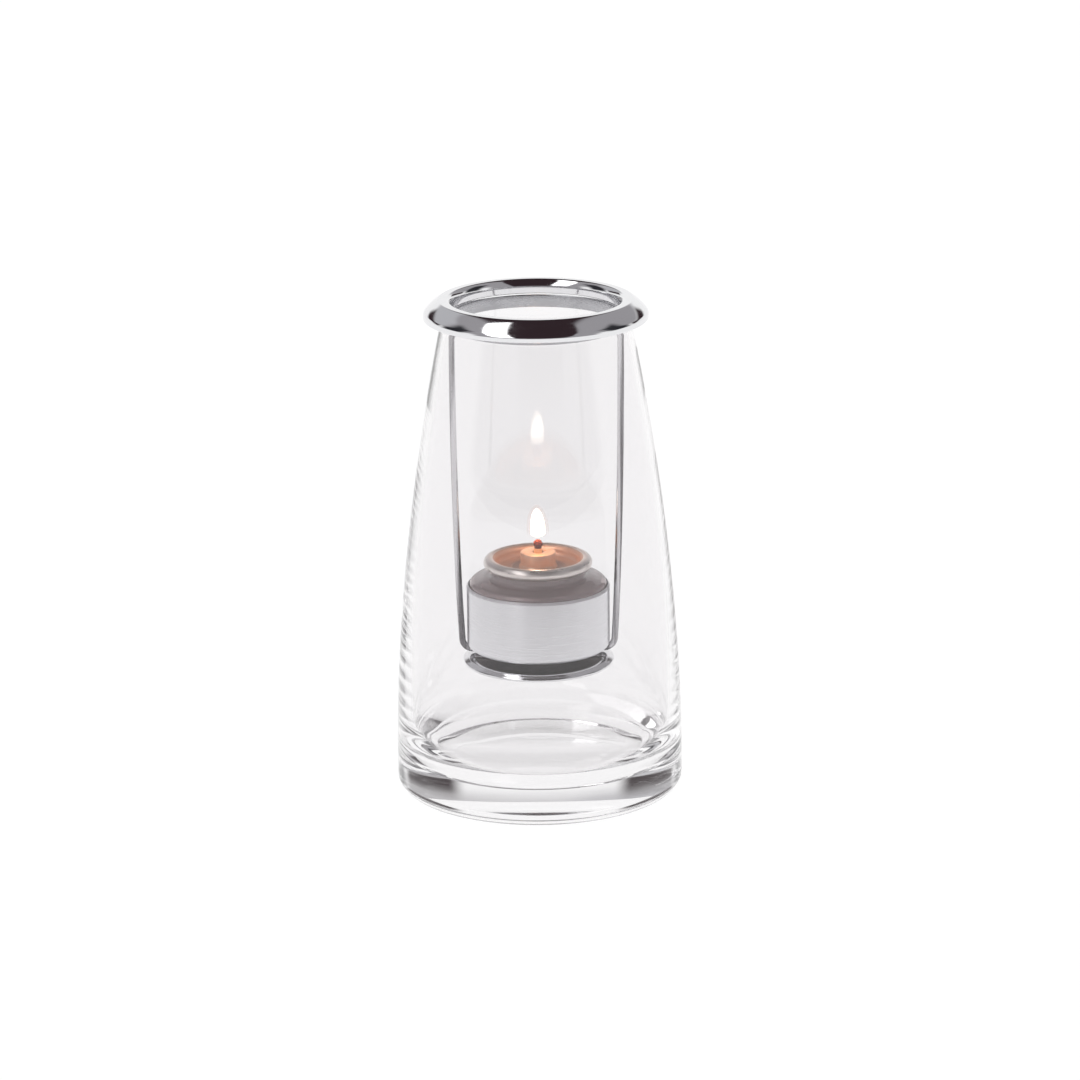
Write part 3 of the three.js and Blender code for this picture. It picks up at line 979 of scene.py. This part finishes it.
white_floor = principled("white_floor", (0.1, 0.1, 0.1), 0.9, Specular_IOR_Level=0.0)
floor_shader = white_floor.node_tree.nodes["Principled BSDF"]
floor_shader.inputs["Emission Color"].default_value = (1, 1, 1, 1)
floor_shader.inputs["Emission Strength"].default_value = FLOOR_GLOW

floor_mesh = bpy.data.meshes.new("floor")
corners = [math.tau * k / FLOOR_SIDES for k in range(FLOOR_SIDES)]
floor_points = [(FLOOR_REACH * math.cos(a), FLOOR_REACH * math.sin(a), -FLOOR_DROP) for a in corners]
floor_mesh.from_pydata(floor_points, [], [range(len(floor_points))])
floor_mesh.materials.append(white_floor)
floor = add("floor", floor_mesh)

# %% Room
world = bpy.data.worlds.new("room")
bpy.context.scene.world = world
world.use_nodes = True
room = world.node_tree


def room_math(operation, *inputs):
    """One Math node in the room. Inputs are numbers or sockets."""
    node = room.nodes.new("ShaderNodeMath")
    node.operation = operation
    for socket, value in zip(node.inputs, inputs):
        if isinstance(value, (int, float)):
            socket.default_value = value
        else:
            room.links.new(value, socket)
    return node.outputs[0]


def soft_step(value, start, end):
    """A smooth step from 0 at start to 1 at end."""
    node = room.nodes.new("ShaderNodeMapRange")
    node.interpolation_type = "SMOOTHSTEP"
    node.inputs["From Min"].default_value = start
    node.inputs["From Max"].default_value = end
    room.links.new(value, node.inputs["Value"])
    return node.outputs["Result"]


def mixed(factor, under, over):
    """Mix two colours of the room by a factor socket."""
    node = room.nodes.new("ShaderNodeMix")
    node.data_type = "RGBA"
    room.links.new(factor, node.inputs["Factor"])
    for socket, value in ((node.inputs["A"], under), (node.inputs["B"], over)):
        if isinstance(value, tuple):
            socket.default_value = (*value, 1.0)
        else:
            room.links.new(value, socket)
    return node.outputs["Result"]


direction = room.nodes.new("ShaderNodeTexCoord")
axes = room.nodes.new("ShaderNodeSeparateXYZ")
room.links.new(direction.outputs["Generated"], axes.inputs["Vector"])
front = room_math("MULTIPLY", axes.outputs["Y"], -1.0)
azimuth = room_math("ARCTAN2", axes.outputs["X"], front)
elevation = room_math("ARCSINE", axes.outputs["Z"])
around = room_math("ABSOLUTE", azimuth)


def between(angle, low, high, blur):
    """1 between two angles in degrees and 0 outside them, with ends that are 2 * blur wide."""
    past_low = soft_step(angle, math.radians(low - blur), math.radians(low + blur))
    short_of_high = soft_step(angle, math.radians(high + blur), math.radians(high - blur))
    return room_math("MULTIPLY", past_low, short_of_high)


def card(under, colour, azimuths, elevations, blur=6.0, both_sides=False):
    """A soft-edged patch of the room, in degrees. Azimuth 0 is the front and 90 the right."""
    across = between(around if both_sides else azimuth, *azimuths, blur)
    upright = between(elevation, *elevations, blur / 2)
    return mixed(room_math("MULTIPLY", across, upright), under, colour)


def hung_card(under, colour, edges, low, blur=0.03):
    """A card with straight edges, hung from `low` degrees up. Each edge is a plane through the holder, given
    by the direction that it faces, so the card's outline is straight wherever the metal mirrors it."""
    inside = soft_step(elevation, math.radians(low - 3), math.radians(low + 3))
    for edge in edges:
        facing = room.nodes.new("ShaderNodeVectorMath")
        facing.operation = "DOT_PRODUCT"
        facing.inputs[1].default_value = edge
        room.links.new(direction.outputs["Generated"], facing.inputs[0])
        inside = room_math("MULTIPLY", inside, soft_step(facing.outputs["Value"], -blur, blur))
    return mixed(inside, under, colour)


WHITE = (1.0, 1.0, 1.0)
GREY = (0.36, 0.35, 0.365)
BROWN = (0.035, 0.022, 0.026)
BLACK = (0.03, 0.03, 0.035)
LIGHT_GREY = (0.52, 0.52, 0.54)
SOFT_BOX = (2.5, 2.5, 2.5)
BACK_STRIP = [(1.0, 0, 0.42), (-1.0, 0, 0.36), (0, 1.0, 0)]
FRONT_WEDGE = [(1.0, -0.33, 0.28), (-1.0, -0.53, 0.43)]
BOX_EDGES = [(-1.0, 0.33, -0.28), (1.0, -0.76, 0.635), (0, -1.0, 0.25)]

walls = mixed(soft_step(elevation, math.radians(16.0), math.radians(24.0)), WHITE, GREY)
walls = card(walls, GREY, (-200.0, 66.0), (-6.0, 30.0), both_sides=True)
walls = card(walls, LIGHT_GREY, (-168.0, -118.0), (20.0, 42.0))
walls = hung_card(walls, BROWN, BACK_STRIP, 24.0, blur=0.06)
walls = card(walls, BROWN, (118.0, 154.0), (11.0, 20.0), blur=4.0, both_sides=True)
walls = card(walls, BLACK, (82.0, 112.0), (8.0, 45.0), both_sides=True)
walls = hung_card(walls, BROWN, FRONT_WEDGE, 6.0)
walls = hung_card(walls, SOFT_BOX, BOX_EDGES, 12.0)
room.links.new(walls, room.nodes["Background"].inputs["Color"])

# %% [markdown]
# ## Rendering
#
# A ray that enters the glass close to its outline is mirrored inside the wall many times before it gets out. The
# renderer drops a ray after a set number of bounces and counts it as black, so a low number draws a dark line
# down both sides of the vase. With 64 bounces the edges come out light, as thick clear glass shows them.

# %% Rendering
GLASS_BOUNCES = 64

scene = bpy.context.scene
scene.view_settings.view_transform = "Standard"
scene.view_settings.look = "None"
scene.cycles.max_bounces = GLASS_BOUNCES
scene.cycles.transmission_bounces = GLASS_BOUNCES
scene.cycles.glossy_bounces = GLASS_BOUNCES
scene.cycles.diffuse_bounces = 4
scene.cycles.transparent_max_bounces = 16
